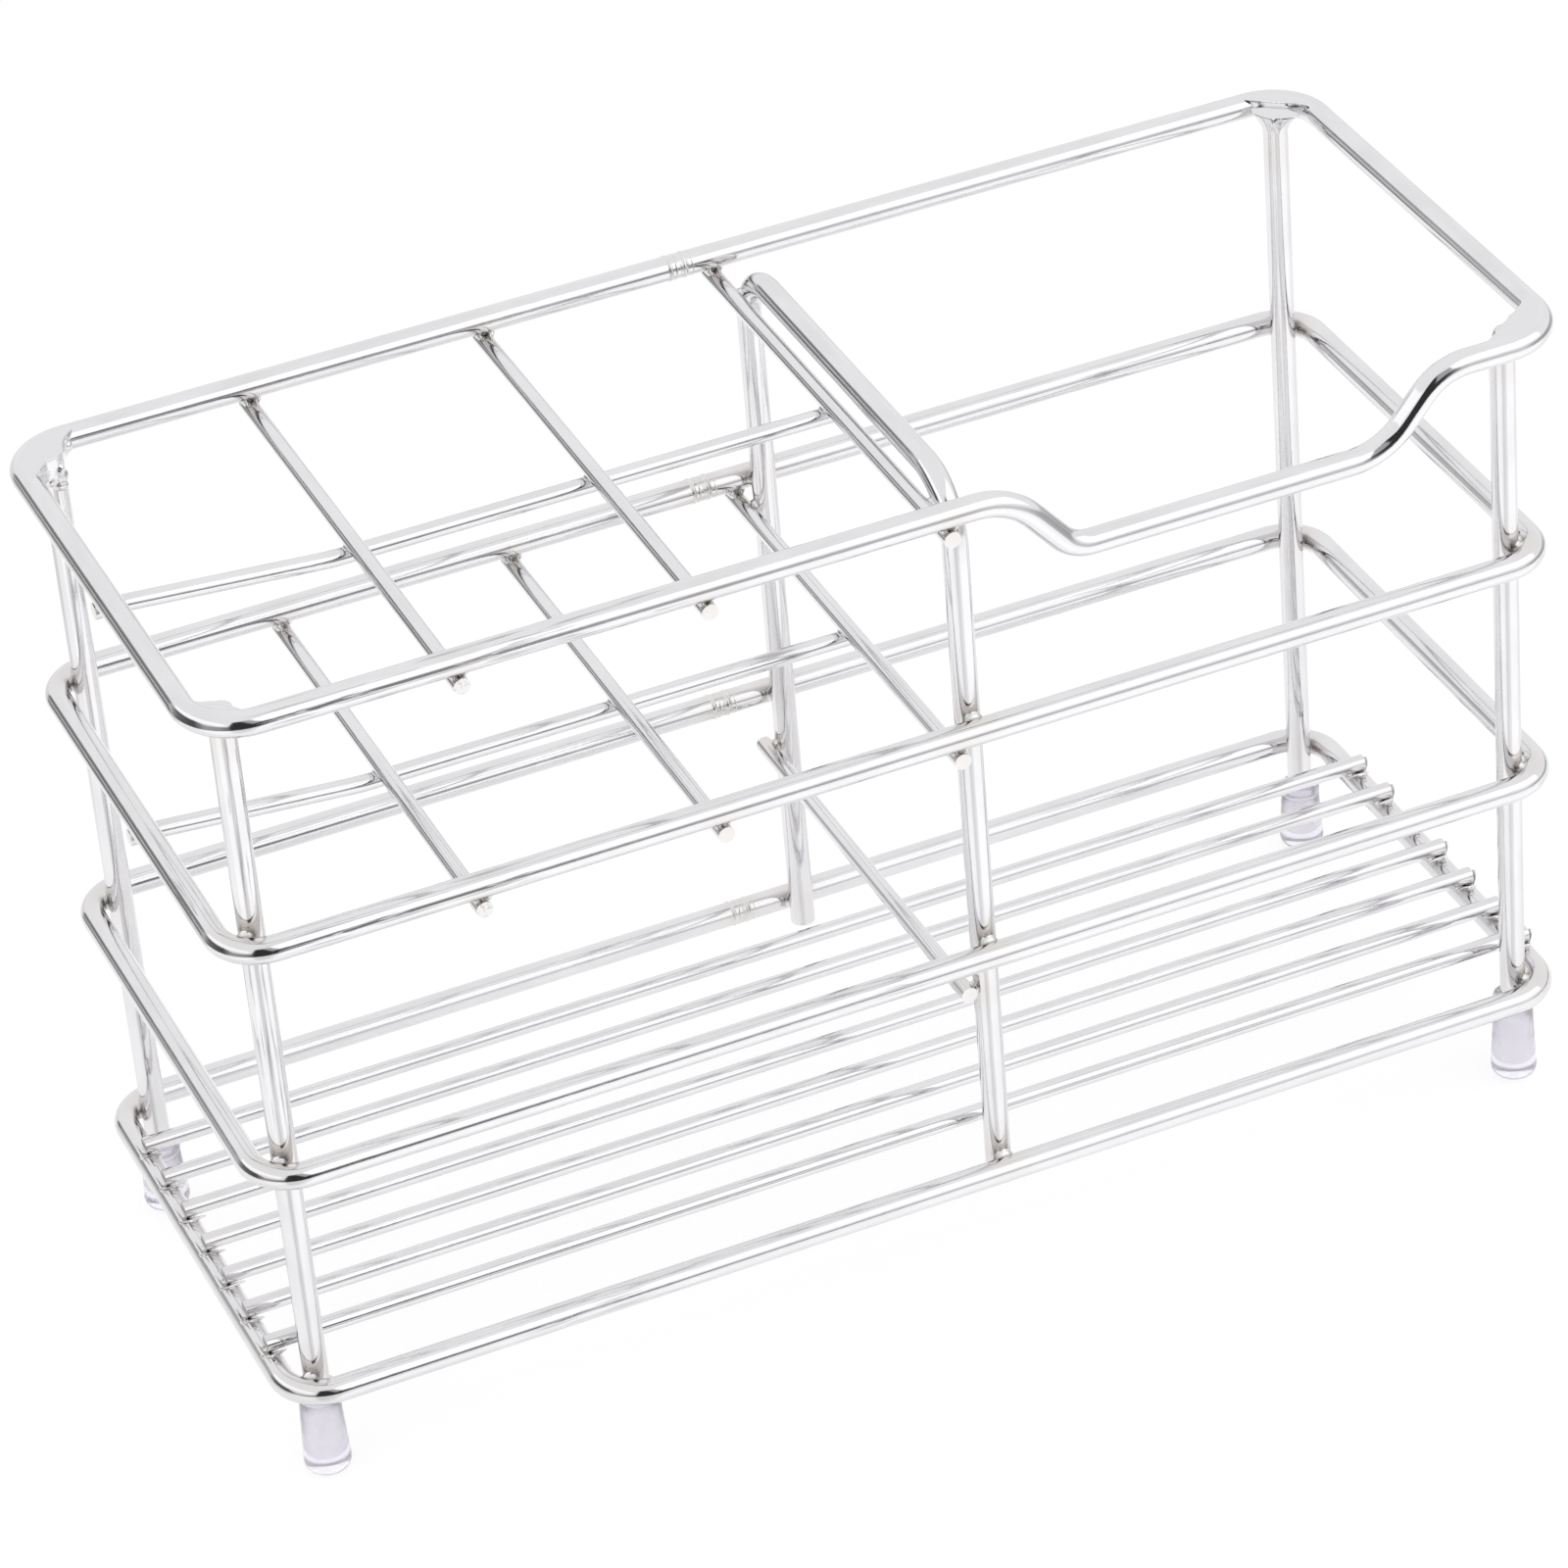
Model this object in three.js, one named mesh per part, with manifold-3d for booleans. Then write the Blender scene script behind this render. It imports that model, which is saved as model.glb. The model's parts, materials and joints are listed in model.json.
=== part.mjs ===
// Toothbrush holder: a rack of welded stainless wire with clear feet.
// Millimetres, +Z up, front at -Y. The origin is under the middle of the rim, on the surface
// that the feet stand on.
import * as THREE from 'three';
import { mergeVertices } from 'three/addons/utils/BufferGeometryUtils.js';
import Module from 'manifold-3d';

// Wire and welds
const heavyWire = 3.75; // diameter of the rim, rings, posts and divider
const lightWire = 2.5; // diameter of the rests and floor slats
const weldGap = 0.1; // clearance drawn between two wires that are welded together

// Rings: sizes to the centre of the wire
const ringLength = 200;
const ringDepth = 78.7;
const ringBend = 6.5; // radius of the corners
const ringSetBack = 0.5; // the rings sit this much behind the rim's middle

// Rim: a little longer and deeper than the rings
const rimExtraLength = 1.2;
const rimExtraDepth = 2.7;
const rimBend = 8;

// Heights, all to the centre of the wire
const baseHeight = 16.5; // base ring above the floor
const ringPitch = 38.1; // from each ring to the next
const rimRise = 37.3; // from the upper ring to the rim

// Dip in the rim's front run, over the wide bay
const dipDepth = 10.8;
const dipSlope = THREE.MathUtils.degToRad(50);
const dipFromDivider = 5.9; // from the divider to the dip's left shoulder
const dipFromEnd = 19.1; // from the dip's right shoulder to the rim's right run
const dipLeftTopBend = 11;
const dipLeftFloorBend = 6;
const dipRightFloorBend = 11;
const dipRightTopBend = 9;

// Brush slots on the left
const slotCount = 3;
const slotPitch = 35.7; // from the rings' left run to the first rest, and on to the next
const restTip = 1.4; // how far a rest's ends reach past the centre of the wire over them
const longRestTip = 0.9;
const longRestFlat = 3; // straight length at the left end, under the left run
const longRestBend = 30;

// Divider
const hoopBend = 9;
const hoopDrop = 2.2; // the legs end this much below the centre of the base ring
const lowerRestDrop = 7.6; // the lower rest below the lower ring

// Floor
const slatCount = 7;
const slatPitch = ringDepth / (slatCount + 2); // a wider open strip is left at both long sides
const slatShift = -2.6; // middle slat in front of the rings' middle
const slatTip = 1.2;

// Welds that show: the web over each post's end, and the butt weld that closes a loop
const webThickness = 2.6;
const webReach = 8.5; // along both runs of the rim from the corner
const webLap = 0.4; // how far it covers past the post's far side
const webRound = 0.5;
const buttFromRest = 5.6; // left of the last rest
const buttSwell = 0.22;
const buttLength = 3;

// Feet
const footFloor = 2;
const footTopWall = 0.9;
const footBottomWall = 1.5;
const footEdge = 1.6; // rounded lower edge
const footClearance = 0.06;

// Facets
const heavySides = 16;
const lightSides = 12;
const bendSteps = 7;
const footSides = 28;
const footEdgeSteps = 5;
const buttRings = 8;
const webCurveSteps = 10;
const webRoundSteps = 2;
const sameSpot = 1e-5; // vertices closer than this are one

// Sizes that follow
const heavyRadius = heavyWire / 2;
const lightRadius = lightWire / 2;
const rimLength = ringLength + rimExtraLength;
const rimDepth = ringDepth + rimExtraDepth;
const ringCentre = new THREE.Vector2(-rimExtraLength / 2, ringSetBack);
const ringLeft = ringCentre.x - ringLength / 2;
const lowerHeight = baseHeight + ringPitch;
const upperHeight = lowerHeight + ringPitch;
const rimHeight = upperHeight + rimRise;
const heavyPair = heavyWire + weldGap; // centre to centre of two heavy wires side by side
const mixedPair = heavyRadius + lightRadius + weldGap;
const lightPair = lightWire + weldGap;
const cornerInset = (1 - Math.SQRT1_2) * ringBend + Math.SQRT1_2 * heavyPair;
const postInset = Math.max(heavyPair, cornerInset); // from the rings' runs to a post's centre
const restX = (slot) => ringLeft + slot * slotPitch;
const hoopX = restX(slotCount) + mixedPair;
const hoopLegReach = ringDepth / 2 - heavyPair;
const buttX = restX(slotCount) - buttFromRest;

const steel = new THREE.MeshStandardMaterial({ color: 0xd9d9db, roughness: 0.16, metalness: 1 });
const brightSteel = new THREE.MeshStandardMaterial({ color: 0xdededf, roughness: 0.2, metalness: 1 });
const clearVinyl = new THREE.MeshStandardMaterial({
  color: 0xe6e4ee,
  roughness: 0.22,
  metalness: 0,
  transparent: true,
  opacity: 0.45,
});

// A wire's centre line: straight runs between corners, with a round bend at each corner.
// Its stations are the ends of the bends and the steps inside them.
class BentWire extends THREE.Curve {
  constructor(corners, bends, closed = false) {
    super();
    this.points = [];
    this.tangents = [];
    corners.forEach((corner, index) => {
      const before = corners.at(index - 1);
      const after = corners[(index + 1) % corners.length];
      const end = !closed && (index === 0 || index === corners.length - 1);
      if (end) {
        const along = index === 0 ? after.clone().sub(corner) : corner.clone().sub(before);
        this.addStation(corner.clone(), along.normalize());
      } else {
        this.addBend(before, corner, after, bends[index]);
      }
    });
    if (closed) {
      this.addStation(this.points[0].clone(), this.tangents[0].clone());
    }
    this.steps = this.points.length - 1;
  }

  addStation(point, tangent) {
    this.points.push(point);
    this.tangents.push(tangent);
  }

  addBend(before, corner, after, radius) {
    const into = corner.clone().sub(before).normalize();
    const out = after.clone().sub(corner).normalize();
    const angle = into.angleTo(out);
    const start = corner.clone().addScaledVector(into, -radius * Math.tan(angle / 2));
    const inward = out.clone().addScaledVector(into, -out.dot(into)).normalize();
    for (let step = 0; step <= bendSteps; step += 1) {
      const turn = (angle * step) / bendSteps;
      const point = start.clone();
      point.addScaledVector(into, radius * Math.sin(turn));
      point.addScaledVector(inward, radius * (1 - Math.cos(turn)));
      const tangent = into.clone().multiplyScalar(Math.cos(turn));
      tangent.addScaledVector(inward, Math.sin(turn));
      this.addStation(point, tangent);
    }
  }

  getUtoTmapping(u) {
    return u;
  }

  getPoint(t, target = new THREE.Vector3()) {
    return target.copy(this.points[Math.round(t * this.steps)]);
  }

  getTangent(t, target = new THREE.Vector3()) {
    return target.copy(this.tangents[Math.round(t * this.steps)]);
  }
}

const rack = new THREE.Group();

function addPiece(name, geometry, material) {
  const mesh = new THREE.Mesh(geometry, material);
  mesh.name = name;
  rack.add(mesh);
  return mesh;
}

const wasm = await Module();
wasm.setup();

function toSolid(geometry) {
  const plain = geometry.clone();
  plain.deleteAttribute('normal');
  plain.deleteAttribute('uv');
  const merged = mergeVertices(plain, sameSpot);
  return new wasm.Manifold(new wasm.Mesh({
    numProp: 3,
    vertProperties: new Float32Array(merged.attributes.position.array),
    triVerts: new Uint32Array(merged.index.array),
  }));
}

function joined(geometries) {
  const solids = geometries.map(toSolid);
  const mesh = solids.reduce((whole, solid) => whole.add(solid)).getMesh();
  const geometry = new THREE.BufferGeometry();
  geometry.setAttribute('position', new THREE.BufferAttribute(mesh.vertProperties, 3));
  geometry.setIndex(new THREE.BufferAttribute(mesh.triVerts, 1));
  geometry.computeVertexNormals();
  return geometry;
}

// Wires with two free ends
function openWire(path, diameter, sides) {
  const section = new THREE.Shape().absarc(0, 0, diameter / 2, 0, 2 * Math.PI);
  const options = { steps: path.steps, extrudePath: path, curveSegments: sides, bevelEnabled: false };
  return new THREE.ExtrudeGeometry(section, options);
}

function straightWire(from, to, diameter, sides) {
  const along = to.clone().sub(from);
  const geometry = new THREE.CylinderGeometry(diameter / 2, diameter / 2, along.length(), sides);
  const turn = new THREE.Quaternion().setFromUnitVectors(new THREE.Vector3(0, 1, 0), along.normalize());
  geometry.applyQuaternion(turn);
  const middle = from.clone().add(to).multiplyScalar(0.5);
  return geometry.translate(middle.x, middle.y, middle.z);
}

// The swell left where the two ends of a loop are butted and welded, in its back run
function buttWeld(backY, height) {
  const radius = heavyRadius + buttSwell;
  const geometry = new THREE.SphereGeometry(radius, heavySides, buttRings);
  geometry.rotateZ(Math.PI / 2);
  geometry.scale(buttLength / 2 / radius, 1, 1);
  return geometry.translate(buttX, backY, height);
}

function loopCorners(centre, length, depth, height) {
  const left = centre.x - length / 2;
  const right = centre.x + length / 2;
  const front = centre.y - depth / 2;
  const back = centre.y + depth / 2;
  return {
    frontLeft: new THREE.Vector3(left, front, height),
    frontRight: new THREE.Vector3(right, front, height),
    backRight: new THREE.Vector3(right, back, height),
    backLeft: new THREE.Vector3(left, back, height),
  };
}

// Rings
const ringHeights = { upper_ring: upperHeight, lower_ring: lowerHeight, base_ring: baseHeight };
for (const [name, height] of Object.entries(ringHeights)) {
  const corners = loopCorners(ringCentre, ringLength, ringDepth, height);
  const path = new BentWire(Object.values(corners), Object.values(corners).map(() => ringBend), true);
  const loop = new THREE.TubeGeometry(path, path.steps, heavyRadius, heavySides, true);
  addPiece(name, joined([loop, buttWeld(corners.backLeft.y, height)]), steel);
}

// Corner posts, inside the bends of the rings and from the feet to the rim's webs
const postBottom = footFloor + weldGap;
const postTop = rimHeight - webThickness / 2 - weldGap;
const posts = [];
for (const [end, alongX] of [['left', -1], ['right', 1]]) {
  for (const [side, alongY] of [['front', -1], ['back', 1]]) {
    const x = ringCentre.x + alongX * (ringLength / 2 - postInset);
    const y = ringCentre.y + alongY * (ringDepth / 2 - postInset);
    posts.push({ place: `${side}_${end}`, alongX, alongY, x, y });
  }
}
for (const { place, x, y } of posts) {
  const from = new THREE.Vector3(x, y, postBottom);
  const to = new THREE.Vector3(x, y, postTop);
  addPiece(`post_${place}`, straightWire(from, to, heavyWire, heavySides), steel);
}

// Rim: a loop whose front run dips over the wide bay
const rimCorners = loopCorners(new THREE.Vector2(), rimLength, rimDepth, rimHeight);
const rimFront = rimCorners.frontLeft.y;
const dipRun = dipDepth / Math.tan(dipSlope);
const dipLeft = hoopX + dipFromDivider;
const dipRight = rimCorners.frontRight.x - dipFromEnd;
const dipFloor = rimHeight - dipDepth;
const rimPath = new BentWire([
  rimCorners.frontLeft,
  new THREE.Vector3(dipLeft, rimFront, rimHeight),
  new THREE.Vector3(dipLeft + dipRun, rimFront, dipFloor),
  new THREE.Vector3(dipRight - dipRun, rimFront, dipFloor),
  new THREE.Vector3(dipRight, rimFront, rimHeight),
  rimCorners.frontRight,
  rimCorners.backRight,
  rimCorners.backLeft,
], [
  rimBend,
  dipLeftTopBend,
  dipLeftFloorBend,
  dipRightFloorBend,
  dipRightTopBend,
  rimBend,
  rimBend,
  rimBend,
], true);

// The web of weld metal that fills a rim corner and covers the post's end
function rimWeb(post) {
  const cornerX = post.alongX * rimLength / 2;
  const cornerY = post.alongY * rimDepth / 2;
  const reach = webReach - webRound;
  const onSide = new THREE.Vector2(cornerX, cornerY - post.alongY * reach);
  const onFront = new THREE.Vector2(cornerX - post.alongX * reach, cornerY);
  const lap = (heavyRadius + webLap) * Math.SQRT1_2 - webRound;
  const inner = new THREE.Vector2(post.x - post.alongX * lap, post.y - post.alongY * lap);
  const pull = inner.multiplyScalar(2).addScaledVector(onSide, -0.5).addScaledVector(onFront, -0.5);
  const cut = (1 - Math.SQRT1_2) * rimBend;
  const outline = new THREE.Shape();
  outline.moveTo(onSide.x, onSide.y);
  outline.quadraticCurveTo(pull.x, pull.y, onFront.x, onFront.y);
  outline.lineTo(cornerX - post.alongX * cut, cornerY - post.alongY * cut);
  const geometry = new THREE.ExtrudeGeometry(outline, {
    depth: webThickness - 2 * webRound,
    curveSegments: webCurveSteps,
    bevelThickness: webRound,
    bevelSize: webRound,
    bevelSegments: webRoundSteps,
  });
  return geometry.translate(0, 0, rimHeight - webThickness / 2 + webRound);
}
const rimLoop = new THREE.TubeGeometry(rimPath, rimPath.steps, heavyRadius, heavySides, true);
const rimWelds = [buttWeld(rimCorners.backLeft.y, rimHeight), ...posts.map(rimWeb)];
addPiece('top_rim', joined([rimLoop, ...rimWelds]), steel);

// Divider between the brush slots and the wide bay
const hoopFront = ringCentre.y - hoopLegReach;
const hoopBack = ringCentre.y + hoopLegReach;
const hoopBottom = baseHeight - hoopDrop;
const hoopPath = new BentWire([
  new THREE.Vector3(hoopX, hoopFront, hoopBottom),
  new THREE.Vector3(hoopX, hoopFront, rimHeight),
  new THREE.Vector3(hoopX, hoopBack, rimHeight),
  new THREE.Vector3(hoopX, hoopBack, hoopBottom),
], [0, hoopBend, hoopBend, 0]);
addPiece('divider_hoop', openWire(hoopPath, heavyWire, heavySides), steel);

// Rests under the rim and under the upper ring: three across, and one along that halves the slots
function addRests(level, corners) {
  const under = corners.frontLeft.z - mixedPair;
  const front = corners.frontLeft.y - restTip;
  const back = corners.backLeft.y + restTip;
  for (let slot = 1; slot <= slotCount; slot += 1) {
    const from = new THREE.Vector3(restX(slot), front, under);
    const to = new THREE.Vector3(restX(slot), back, under);
    addPiece(`${level}_rest_${slot}`, straightWire(from, to, lightWire, lightSides), brightSteel);
  }
  const low = under - lightPair;
  const left = corners.frontLeft.x;
  const path = new BentWire([
    new THREE.Vector3(left - restTip, ringCentre.y, under),
    new THREE.Vector3(left + longRestFlat, ringCentre.y, under),
    new THREE.Vector3(restX(1) - longRestFlat, ringCentre.y, low),
    new THREE.Vector3(restX(slotCount) + longRestTip, ringCentre.y, low),
  ], [0, longRestBend, longRestBend, 0]);
  addPiece(`${level}_long_rest`, openWire(path, lightWire, lightSides), brightSteel);
}
addRests('rim', rimCorners);
addRests('upper', loopCorners(ringCentre, ringLength, ringDepth, upperHeight));

// Lower rest, welded to the left of the divider's legs
const lowerRestReach = hoopLegReach + restTip;
const lowerRestHeight = lowerHeight - lowerRestDrop;
addPiece('lower_rest', straightWire(
  new THREE.Vector3(restX(slotCount), ringCentre.y - lowerRestReach, lowerRestHeight),
  new THREE.Vector3(restX(slotCount), ringCentre.y + lowerRestReach, lowerRestHeight),
  lightWire,
  lightSides,
), brightSteel);

// Floor slats, on top of the base ring's two ends
const slatReach = ringLength / 2 + slatTip;
for (let slat = 1; slat <= slatCount; slat += 1) {
  const y = ringCentre.y + slatShift + (slat - (slatCount + 1) / 2) * slatPitch;
  const from = new THREE.Vector3(ringCentre.x - slatReach, y, baseHeight + mixedPair);
  const to = new THREE.Vector3(ringCentre.x + slatReach, y, baseHeight + mixedPair);
  addPiece(`floor_slat_${slat}`, straightWire(from, to, lightWire, lightSides), brightSteel);
}

// Feet: clear caps pushed over the posts' ends, with a flat sole and a rounded edge
const footBore = heavyRadius + footClearance;
const footTop = baseHeight - heavyRadius - weldGap;
const footTopRadius = footBore + footTopWall;
const footBottomRadius = footBore + footBottomWall;
const footProfile = [new THREE.Vector2(0, 0)];
for (let step = 0; step <= footEdgeSteps; step += 1) {
  const turn = (Math.PI / 2) * (step / footEdgeSteps);
  const radius = footBottomRadius - footEdge + footEdge * Math.sin(turn);
  footProfile.push(new THREE.Vector2(radius, footEdge - footEdge * Math.cos(turn)));
}
footProfile.push(
  new THREE.Vector2(footTopRadius, footTop),
  new THREE.Vector2(footBore, footTop),
  new THREE.Vector2(footBore, footFloor),
  new THREE.Vector2(0, footFloor),
);
for (const { place, x, y } of posts) {
  const geometry = new THREE.LatheGeometry(footProfile, footSides);
  geometry.rotateX(Math.PI / 2);
  addPiece(`foot_${place}`, geometry, clearVinyl).position.set(x, y, 0);
}

export default rack;
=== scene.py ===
# Toothbrush holder: a rack of welded stainless wire that stands on four clear vinyl feet.
# Brush slots are at the left, a wide bay with a dipped front rim at the right, over a slatted floor.
import json
import math

import bmesh
import bpy
import numpy as np
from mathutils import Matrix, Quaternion, Vector

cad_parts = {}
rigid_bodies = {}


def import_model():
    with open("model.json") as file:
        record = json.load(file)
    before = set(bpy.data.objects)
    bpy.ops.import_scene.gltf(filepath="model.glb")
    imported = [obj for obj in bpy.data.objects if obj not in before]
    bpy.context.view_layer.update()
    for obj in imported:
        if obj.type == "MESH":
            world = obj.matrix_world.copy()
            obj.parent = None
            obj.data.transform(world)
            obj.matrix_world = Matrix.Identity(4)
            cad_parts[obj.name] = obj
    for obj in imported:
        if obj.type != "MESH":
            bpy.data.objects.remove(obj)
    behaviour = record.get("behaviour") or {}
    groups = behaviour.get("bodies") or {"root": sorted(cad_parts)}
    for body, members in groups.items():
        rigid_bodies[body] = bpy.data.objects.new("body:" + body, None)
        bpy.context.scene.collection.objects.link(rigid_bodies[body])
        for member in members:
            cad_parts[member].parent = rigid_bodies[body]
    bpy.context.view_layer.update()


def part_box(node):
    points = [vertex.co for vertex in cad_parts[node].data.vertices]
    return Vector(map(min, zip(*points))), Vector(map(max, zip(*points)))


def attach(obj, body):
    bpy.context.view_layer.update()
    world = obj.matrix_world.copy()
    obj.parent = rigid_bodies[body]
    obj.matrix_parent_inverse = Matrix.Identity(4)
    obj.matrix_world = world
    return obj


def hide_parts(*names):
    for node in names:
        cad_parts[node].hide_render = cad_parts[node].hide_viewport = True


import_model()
scene = bpy.context.scene
scene.view_settings.view_transform = "Standard"

# Camera: a long lens in front, a little to the left and well above the rack, leaning slightly,
# as the photograph was taken.
mm = 0.001
view_aim = Vector((-5.8, -2.1, 67.3)) * mm
view_distance = 969.8 * mm
view_azimuth = math.radians(-20.72)
view_elevation = math.radians(34.09)
view_lean = Quaternion((0, 0, 1), math.radians(-5.12))
view_sensor, view_lens = 36, 154.6  # mm, as Blender has them
to_camera = Vector((
    math.sin(view_azimuth) * math.cos(view_elevation),
    -math.cos(view_azimuth) * math.cos(view_elevation),
    math.sin(view_elevation),
))
bpy.ops.object.camera_add(location=view_aim + to_camera * view_distance)
camera = bpy.context.object
camera.rotation_euler = (to_camera.to_track_quat("Z", "Y") @ view_lean).to_euler()
camera.data.sensor_width = view_sensor
camera.data.lens = view_lens
scene.camera = camera


# Studio: a white tent with a round white table in it. Low down, past the table's edge, the darker
# room shows in the metal: deepest at the left and in front, where the tent is also open for the camera.
def linear(code):
    """The linear colour of an sRGB hex code."""
    shares = [int(code[i:i + 2], 16) / 255 for i in (1, 3, 5)]
    return [s / 12.92 if s <= 0.04045 else ((s + 0.055) / 1.055) ** 2.4 for s in shares] + [1.0]


def add_node(tree, kind, inputs=(), stops=(), **settings):
    """Adds a node with its settings. An input that is a socket is linked, and a value is set."""
    node = tree.nodes.new(kind)
    for name, value in settings.items():
        setattr(node, name, value)
    for name, value in dict(inputs).items():
        if isinstance(value, bpy.types.NodeSocket):
            tree.links.new(value, node.inputs[name])
        else:
            node.inputs[name].default_value = value
    for index, (place, colour) in enumerate(stops):
        ramp = node.color_ramp.elements
        stop = ramp[index] if index < len(ramp) else ramp.new(place)
        stop.position = place
        stop.color = colour
    return node


def blank_material(name):
    """A new material and its node tree, with nothing in it."""
    material = bpy.data.materials.new(name)
    material.use_nodes = True
    material.node_tree.nodes.clear()
    return material, material.node_tree


plain_level = 0.92  # what a matt surface gets from all round
gap_edge = 0.03  # softness of the gaps' upper edge, as a share of height
strip_height = 0.47  # how high the pale strip is, measured as in room_gaps
# Round the room from the back by the left, front and right: how bright the gap is, how high it
# reaches, as the sine of the height angle plus one, halved, and how bright a pale strip across it is
room_gaps = [
    (0.00, (0.95, 0.55, 0, 1)),
    (0.076, (0.85, 0.57, 0, 1)),
    (0.085, (0.26, 0.63, 0.75, 1)),
    (0.1035, (0.20, 0.64, 0.75, 1)),
    (0.1065, (0.50, 0.64, 0.7, 1)),
    (0.116, (0.53, 0.64, 0.7, 1)),
    (0.13, (0.35, 0.65, 0.5, 1)),
    (0.16, (0.15, 0.65, 0.3, 1)),
    (0.25, (0.08, 0.65, 0, 1)),
    (0.30, (0.40, 0.57, 0, 1)),
    (0.36, (0.35, 0.57, 0, 1)),
    (0.395, (0.20, 0.575, 0, 1)),
    (0.407, (0.03, 0.86, 0, 1)),
    (0.495, (0.03, 0.88, 0, 1)),
    (0.520, (0.03, 0.72, 0, 1)),
    (0.537, (0.15, 0.61, 0, 1)),
    (0.546, (0.50, 0.565, 0, 1)),
    (0.553, (0.64, 0.555, 0, 1)),
    (0.567, (0.72, 0.545, 0, 1)),
    (0.61, (0.75, 0.54, 0, 1)),
    (0.66, (0.50, 0.54, 0, 1)),
    (0.75, (0.42, 0.54, 0, 1)),
    (0.82, (0.55, 0.54, 0, 1)),
    (0.87, (0.90, 0.54, 0, 1)),
    (1.00, (0.95, 0.55, 0, 1)),
]
studio = bpy.data.worlds.new("white_tent")
scene.world = studio
studio.use_nodes = True
tree = studio.node_tree
tree.nodes.clear()
ray = add_node(tree, "ShaderNodeLightPath").outputs
way = add_node(tree, "ShaderNodeTexCoord").outputs["Generated"]
way = add_node(tree, "ShaderNodeSeparateXYZ", {0: way}).outputs
front = add_node(tree, "ShaderNodeMath", {0: way["Y"], 1: -1.0}, operation="MULTIPLY").outputs[0]
turn = add_node(tree, "ShaderNodeMath", {0: way["X"], 1: front}, operation="ARCTAN2").outputs[0]
turn = add_node(tree, "ShaderNodeMapRange", {0: turn, 1: -math.pi, 2: math.pi}).outputs[0]
gap = add_node(tree, "ShaderNodeValToRGB", {0: turn}, room_gaps).outputs[0]
gap = add_node(tree, "ShaderNodeSeparateColor", {0: gap}).outputs
height = add_node(tree, "ShaderNodeMapRange", {0: way["Z"], 1: -1.0, 2: 1.0}).outputs[0]
below = add_node(tree, "ShaderNodeMath", {0: gap[1], 1: height}, operation="SUBTRACT").outputs[0]
below = add_node(tree, "ShaderNodeMapRange", {0: below, 1: -gap_edge, 2: gap_edge},
                 interpolation_type="SMOOTHSTEP").outputs[0]
strip = add_node(tree, "ShaderNodeMath", {0: height, 1: strip_height}, operation="SUBTRACT").outputs[0]
strip = add_node(tree, "ShaderNodeMath", {0: strip}, operation="ABSOLUTE").outputs[0]
strip = add_node(tree, "ShaderNodeMapRange", {0: strip, 1: gap_edge, 2: gap_edge / 2},
                 interpolation_type="SMOOTHSTEP").outputs[0]
strip = add_node(tree, "ShaderNodeMath", {0: strip, 1: gap[2]}, operation="MULTIPLY").outputs[0]
room = add_node(tree, "ShaderNodeMath", {0: strip, 1: gap[0]}, operation="MAXIMUM").outputs[0]
tent = add_node(tree, "ShaderNodeMix", {0: below, 2: 1.0, 3: room}).outputs[0]
seen = add_node(tree, "ShaderNodeMath", {
    0: ray["Is Camera Ray"], 1: ray["Is Transmission Ray"]}, operation="MAXIMUM").outputs[0]
level = add_node(tree, "ShaderNodeMix", {0: ray["Is Glossy Ray"], 2: plain_level, 3: tent}).outputs[0]
level = add_node(tree, "ShaderNodeMix", {0: seen, 2: level, 3: 1.0}).outputs[0]
light = add_node(tree, "ShaderNodeBackground", {"Color": (1, 1, 1, 1), "Strength": level}).outputs[0]
add_node(tree, "ShaderNodeOutputWorld", {"Surface": light})

table_radius = 430 * mm
table_middle = Vector((100, -60, 0)) * mm
bpy.ops.object.select_all(action="DESELECT")
bpy.ops.mesh.primitive_circle_add(vertices=96, radius=table_radius, fill_type="NGON", location=table_middle)
bpy.ops.object.transform_apply(location=True, rotation=True, scale=True)
table = bpy.context.object
table.name = "white_table"
table_white = 1.05
table_shade = 0.26  # the share of its white that falls away in shadow
table_unseen = 0.7  # how bright it is to all but the camera
table_gloss, table_blur = 0.28, 0.12  # how much it mirrors, and how softly
zone_reach = 0.3  # how far the table's zones of light reach to the left and right, in metres
front_zone, back_zone = (-0.04, -0.08), (0.08, 0.11)  # where the outer zones start and are full
paint, tree = blank_material("white_laminate")
ray = add_node(tree, "ShaderNodeLightPath").outputs
spot = add_node(tree, "ShaderNodeTexCoord").outputs["Object"]
spot = add_node(tree, "ShaderNodeSeparateXYZ", {0: spot}).outputs
across = add_node(tree, "ShaderNodeMapRange", {0: spot["X"], 1: -zone_reach, 2: zone_reach}).outputs[0]
# How bright the table is in the metal, from left to right: under the rack, before it and behind it.
# It glows less under the rack and behind its left end, a painted shadow of the rack, and less before
# its left end, painted shade
floor_zones = [
    [(0.18, 0.52), (0.27, 0.50), (0.37, 0.50), (0.45, 0.56), (0.60, 0.54), (0.75, 0.52)],
    [(0.18, 0.64), (0.27, 0.54), (0.45, 0.62), (0.75, 0.62)],
    [(0.15, 0.25), (0.20, 0.38), (0.235, 0.50), (0.45, 0.56), (0.75, 0.52)],
]
under_rack, before_rack, behind_rack = [
    add_node(tree, "ShaderNodeValToRGB", {0: across}, [
        (share, (shine,) * 3 + (1,)) for share, shine in zone]).outputs[0] for zone in floor_zones]
before = add_node(tree, "ShaderNodeMapRange", {0: spot["Y"], 1: front_zone[0], 2: front_zone[1]}).outputs[0]
behind = add_node(tree, "ShaderNodeMapRange", {0: spot["Y"], 1: back_zone[0], 2: back_zone[1]}).outputs[0]
glow = add_node(tree, "ShaderNodeMix", {0: before, 2: under_rack, 3: before_rack}).outputs[0]
glow = add_node(tree, "ShaderNodeMix", {0: behind, 2: glow, 3: behind_rack}).outputs[0]
white = add_node(tree, "ShaderNodeMix", {
    0: ray["Is Camera Ray"], 2: table_unseen, 3: table_white - table_shade}).outputs[0]
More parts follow.
